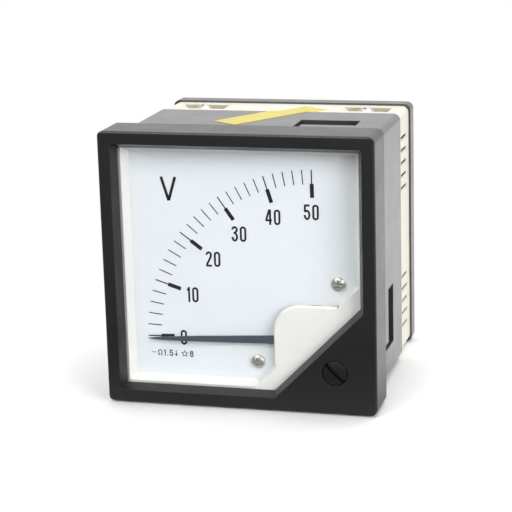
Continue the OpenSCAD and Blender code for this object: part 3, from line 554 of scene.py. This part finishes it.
def hood_corner(white):
    """Quarter-round edge of the hood at its round corner: a quarter disc carried along a quarter circle."""
    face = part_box("dial_surround")[0][1] / MM + 0.3
    t, r = 0.8, 7.2
    cx, cz = PIVOT[0] / MM - 12 + t + r, PIVOT[2] / MM + 10.3 - t - r
    turn = np.radians(np.linspace(0, 90, 9))
    section = np.concatenate([[[-0.4, 0.0]], np.stack([t * np.cos(turn), t * np.sin(turn)], 1), [[-0.4, t]]])
    a = np.radians(np.linspace(90, 180, 41))
    rad = r + section[:, 0]
    pts = np.stack([cx + np.outer(np.cos(a), rad), np.broadcast_to(face + t - section[:, 1], (41, len(rad))),
                    cz + np.outer(np.sin(a), rad)], 2).reshape(-1, 3)
    n = len(rad)
    i, j = np.meshgrid(np.arange(40), np.arange(n), indexing="ij")
    k = (j + 1) % n
    quads = np.stack([i * n + j, (i + 1) * n + j, (i + 1) * n + k, i * n + k], 2).reshape(-1, 4).tolist()
    obj = mesh_object("hood_corner", pts * MM, np.array(quads + [list(range(n)), list(range(40 * n, 41 * n))],
                                                        dtype=object), white)
    outward(obj)


# ---- Stage and light ----

def floor_and_backdrop():
    """White floor through the bezel's and back plate's lower edges, plain white far from the object.

    Light that bounces off it in front of the object is dimmer, as from a table's edge."""
    bez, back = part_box("front_bezel"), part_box("back_plate")
    edge = Vector((0, bez[1][1], bez[0][2]))
    rear = Vector((0, back[1][1], back[0][2]))
    slope = math.atan2(rear.z - edge.z, rear.y - edge.y)
    mat, nds, lks = new_material("studio_floor")
    out = nds.new("ShaderNodeOutputMaterial")
    paper = add(nds, "ShaderNodeBsdfDiffuse")
    white = add(nds, "ShaderNodeEmission", Color=rgb(1, 1, 1), Strength=1.0)
    coords = nds.new("ShaderNodeTexCoord").outputs["Object"]
    length = nds.new("ShaderNodeVectorMath")
    length.operation = "LENGTH"
    lks.new(coords, length.inputs[0])
    far = nds.new("ShaderNodeMapRange")
    far.interpolation_type = "SMOOTHSTEP"
    far.inputs["From Min"].default_value = 0.05
    far.inputs["From Max"].default_value = 0.17
    lks.new(length.outputs["Value"], far.inputs["Value"])
    path = nds.new("ShaderNodeLightPath")
    place = nds.new("ShaderNodeSeparateXYZ")
    lks.new(coords, place.inputs[0])
    near = nds.new("ShaderNodeMapRange")
    near.interpolation_type = "SMOOTHSTEP"
    near.inputs["From Min"].default_value = -0.05
    near.inputs["From Max"].default_value = 0.03
    near.inputs["To Min"].default_value = 0.12
    near.inputs["To Max"].default_value = 0.93
    lks.new(place.outputs["Y"], near.inputs["Value"])
    shade = nds.new("ShaderNodeMix")
    shade.data_type = "FLOAT"
    shade.inputs["B"].default_value = 0.99
    lks.new(path.outputs["Is Camera Ray"], shade.inputs["Factor"])
    lks.new(near.outputs["Result"], shade.inputs["A"])
    lks.new(shade.outputs["Result"], paper.inputs["Color"])
    seen = nds.new("ShaderNodeMath")
    seen.operation = "MULTIPLY"
    lks.new(far.outputs["Result"], seen.inputs[0])
    lks.new(path.outputs["Is Camera Ray"], seen.inputs[1])
    mix = nds.new("ShaderNodeMixShader")
    lks.new(seen.outputs["Value"], mix.inputs["Fac"])
    lks.new(paper.outputs["BSDF"], mix.inputs[1])
    lks.new(white.outputs["Emission"], mix.inputs[2])
    lks.new(mix.outputs["Shader"], out.inputs["Surface"])
    me = bpy.data.meshes.new("floor")
    s = 3.0
    me.from_pydata([(-s, -s, 0), (s, -s, 0), (s, s, 0), (-s, s, 0)], [], [(0, 1, 2, 3)])
    me.materials.append(mat)
    obj = bpy.data.objects.new("floor", me)
    bpy.context.collection.objects.link(obj)
    obj.matrix_world = Matrix.Translation(edge + Vector((0, 0, -0.00005))) @ Matrix.Rotation(slope, 4, "X")


def world_light():
    """Soft room light, brighter behind and above the object than in front; the camera sees plain white."""
    world = bpy.data.worlds.new("studio")
    bpy.context.scene.world = world
    world.use_nodes = True
    nds, lks = world.node_tree.nodes, world.node_tree.links
    nds.clear()
    out = nds.new("ShaderNodeOutputWorld")
    coords = nds.new("ShaderNodeTexCoord").outputs["Generated"]
    lean = nds.new("ShaderNodeVectorMath")
    lean.operation = "DOT_PRODUCT"
    lean.inputs[1].default_value = (0.02, 0.93, 0.35)
    lks.new(coords, lean.inputs[0])
    level = nds.new("ShaderNodeMapRange")
    level.interpolation_type = "SMOOTHSTEP"
    level.inputs["From Min"].default_value = -0.2
    level.inputs["From Max"].default_value = 0.8
    level.inputs["To Min"].default_value = 0.27
    level.inputs["To Max"].default_value = 1.15
    lks.new(lean.outputs["Value"], level.inputs["Value"])
    room = nds.new("ShaderNodeBackground")
    lks.new(level.outputs["Result"], room.inputs["Strength"])
    white = nds.new("ShaderNodeBackground")
    white.inputs["Strength"].default_value = 1.0
    path = nds.new("ShaderNodeLightPath")
    mix = nds.new("ShaderNodeMixShader")
    lks.new(path.outputs["Is Camera Ray"], mix.inputs["Fac"])
    lks.new(room.outputs["Background"], mix.inputs[1])
    lks.new(white.outputs["Background"], mix.inputs[2])
    lks.new(mix.outputs["Shader"], out.inputs["Surface"])


def softbox(name, at, aim, width, height, power, color=(1, 1, 1)):
    data = bpy.data.lights.new(name, "AREA")
    data.shape = "RECTANGLE"
    data.size, data.size_y = width, height
    data.energy = power
    data.color = color
    lamp = bpy.data.objects.new(name, data)
    bpy.context.collection.objects.link(lamp)
    at, aim = Vector(at), Vector(aim)
    lamp.matrix_world = Matrix.Translation(at) @ (at - aim).to_track_quat("Z", "Y").to_matrix().to_4x4()
    lamp.visible_camera = False


def lights():
    world_light()
    softbox("key", (-0.3, -0.8, 0.66), (0, 0, 0), 0.7, 0.6, 5.3)
    softbox("overhead", (0.1, 0.25, 0.9), (0, 0.02, 0), 0.8, 0.7, 4.4)
    softbox("side", (0.95, 0.1, 0.45), (0, 0.02, 0), 0.6, 0.7, 0.7)
    softbox("fill", (0.72, -0.6, 0.3), (0, 0, 0), 0.5, 0.5, 4.8)


# ---- Finishes ----

def paint(material, *names):
    for n in names:
        slots = nodes[n].data.materials
        if len(slots):
            for i in range(len(slots)):
                slots[i] = material
        else:
            slots.append(material)


def finishes():
    black = finish("black_moulding", (0.009, 0.009, 0.0105), 0.42, rough_by=0.05, mottle=0.1, grain=0.008,
                   grain_size=0.00035, coat=0.6, coat_rough=0.38, specular=0.5, edge=0.18)
    # Same black plastic as the bezel, given a lighter colour so that the case's top and sides come out brighter:
    # painted light.
    case = finish("black_case_painted_light", (0.036, 0.036, 0.038), 0.4, rough_by=0.05, mottle=0.1, grain=0.01,
                  grain_size=0.0004, coat=1.0, coat_rough=0.38, specular=1.0, edge=0.2)
    knob = finish("black_adjuster", (0.006, 0.006, 0.007), 0.4, mottle=0.1, grain=0.004, coat=0.25, edge=0.08)
    dark = finish("dark_back_moulding", (0.035, 0.036, 0.04), 0.42, mottle=0.1, grain=0.014, coat=0.5, specular=0.8,
                  edge=0.25)
    white = finish("white_moulding", (0.80, 0.785, 0.74), 0.4, mottle=0.015, grain=0.004, grain_size=0.0006, edge=0.2)
    cream = finish("cream_moulding", (0.76, 0.735, 0.65), 0.42, mottle=0.03, grain=0.01, grain_size=0.0005, edge=0.2)
    # Darker cream for the walls and floors of the screw pockets: painted shade.
    painted_pocket_shade = finish("cream_painted_shade", (0.50, 0.455, 0.335), 0.6, mottle=0.05, grain=0.02, grain_size=0.0004)
    dial = finish("dial_enamel", (0.775, 0.795, 0.81), 0.55, mottle=0.015, mottle_size=0.03, grain=0.002,
                  grain_size=0.0003)
    slate = finish("pointer_paint", (0.055, 0.068, 0.085), 0.45, mottle=0.08, mottle_size=0.004)
    nickel = finish("nickel_plate", (0.62, 0.60, 0.55), 0.33, metallic=1.0, mottle=0.08, mottle_size=0.0012,
                    grain=0.004, grain_size=0.00015, edge=0.12)
    steel = finish("plain_steel", (0.42, 0.43, 0.45), 0.35, metallic=1.0, mottle=0.1, mottle_size=0.004, grain=0.004,
                   grain_size=0.0002)
    magnet = finish("ground_magnet", (0.13, 0.135, 0.15), 0.45, metallic=0.6, mottle=0.15, mottle_size=0.003,
                    grain=0.008)
    cast = finish("cast_metal", (0.5, 0.51, 0.53), 0.42, metallic=0.9, mottle=0.08, mottle_size=0.003, grain=0.012)
    brass = finish("turned_brass", (0.72, 0.54, 0.24), 0.3, metallic=1.0, mottle=0.1, mottle_size=0.002, grain=0.003,
                   grain_size=0.00015, edge=0.12)
    bronze = finish("spring_bronze", (0.6, 0.32, 0.14), 0.3, metallic=1.0, mottle=0.08, mottle_size=0.002)
    label = finish("yellow_label", (0.67, 0.565, 0.125), 0.5, mottle=0.05, mottle_size=0.006, grain=0.008,
                   grain_size=0.0008)
    board = finish("laminate_board", (0.34, 0.21, 0.09), 0.55, mottle=0.2, mottle_size=0.0015, grain=0.01,
                   stretch=(1.0, 1.0, 4.0))
    enamel = finish("resistor_enamel", (0.2, 0.34, 0.31), 0.35, mottle=0.1, mottle_size=0.002, grain=0.01)
    red = finish("red_insulation", (0.5, 0.025, 0.02), 0.4, mottle=0.08, mottle_size=0.004)
    soot = finish("black_insulation", (0.018, 0.018, 0.018), 0.4, mottle=0.08, mottle_size=0.004)
    ink = finish("dial_ink", (0.006, 0.007, 0.01), 0.6, mottle=0.15, mottle_size=0.004, specular=0.2)
    # Near-black for the sheets behind the vents: painted shadow.
    inside = finish("unlit_inside", (0.03, 0.027, 0.018), 0.9, specular=0.1)

    paint(black, "front_bezel")
    paint(case, "case_body")
    paint(knob, "zero_adjuster")
    paint(dark, "back_plate")
    paint(white, "dial_surround")
    paint(cream, "rear_base")
    paint(dial, "dial_plate")
    paint(slate, "pointer")
    paint(pane_glass(), "window_pane")
    paint(nickel, "dial_screws", "base_screws", "back_plate_screws", "frame_screws", "bridge_screws", "solder_lugs")
    paint(steel, "adjuster_retainer", "yoke_ring", "coil_pivots")
    paint(magnet, "core_magnet")
    paint(cast, "movement_frame", "core_spacers", "coil_former", "pointer_hub")
    paint(brass, "front_bridge", "rear_bridge", "bridge_pillars", "front_jewel_screw", "rear_jewel_screw",
          "jewel_nuts", "zero_lever", "spring_anchor", "balance_weights", "terminal_nuts", "terminal_washers")
    paint(bronze, "front_hairspring", "rear_hairspring")
    paint(wound_wire(), "coil_winding")
    paint(label, "seal_label")
    paint(board, "resistor_board")
    paint(enamel, "series_resistors")
    paint(red, "positive_lead")
    paint(soot, "negative_lead")
    return {"ink": ink, "brass": brass, "nickel": nickel, "cream": cream, "inside": inside, "white": white, "painted_pocket_shade": painted_pocket_shade}


bpy.context.scene.view_settings.view_transform = "Standard"
make_camera()
mats = finishes()
dial_print(mats["ink"])
threaded_studs(mats["brass"])
all_screws(mats["nickel"])
pocket_lips(mats["cream"], mats["painted_pocket_shade"])
painted_vent_shadows(mats["inside"])
hood_corner(mats["white"])
floor_and_backdrop()
lights()
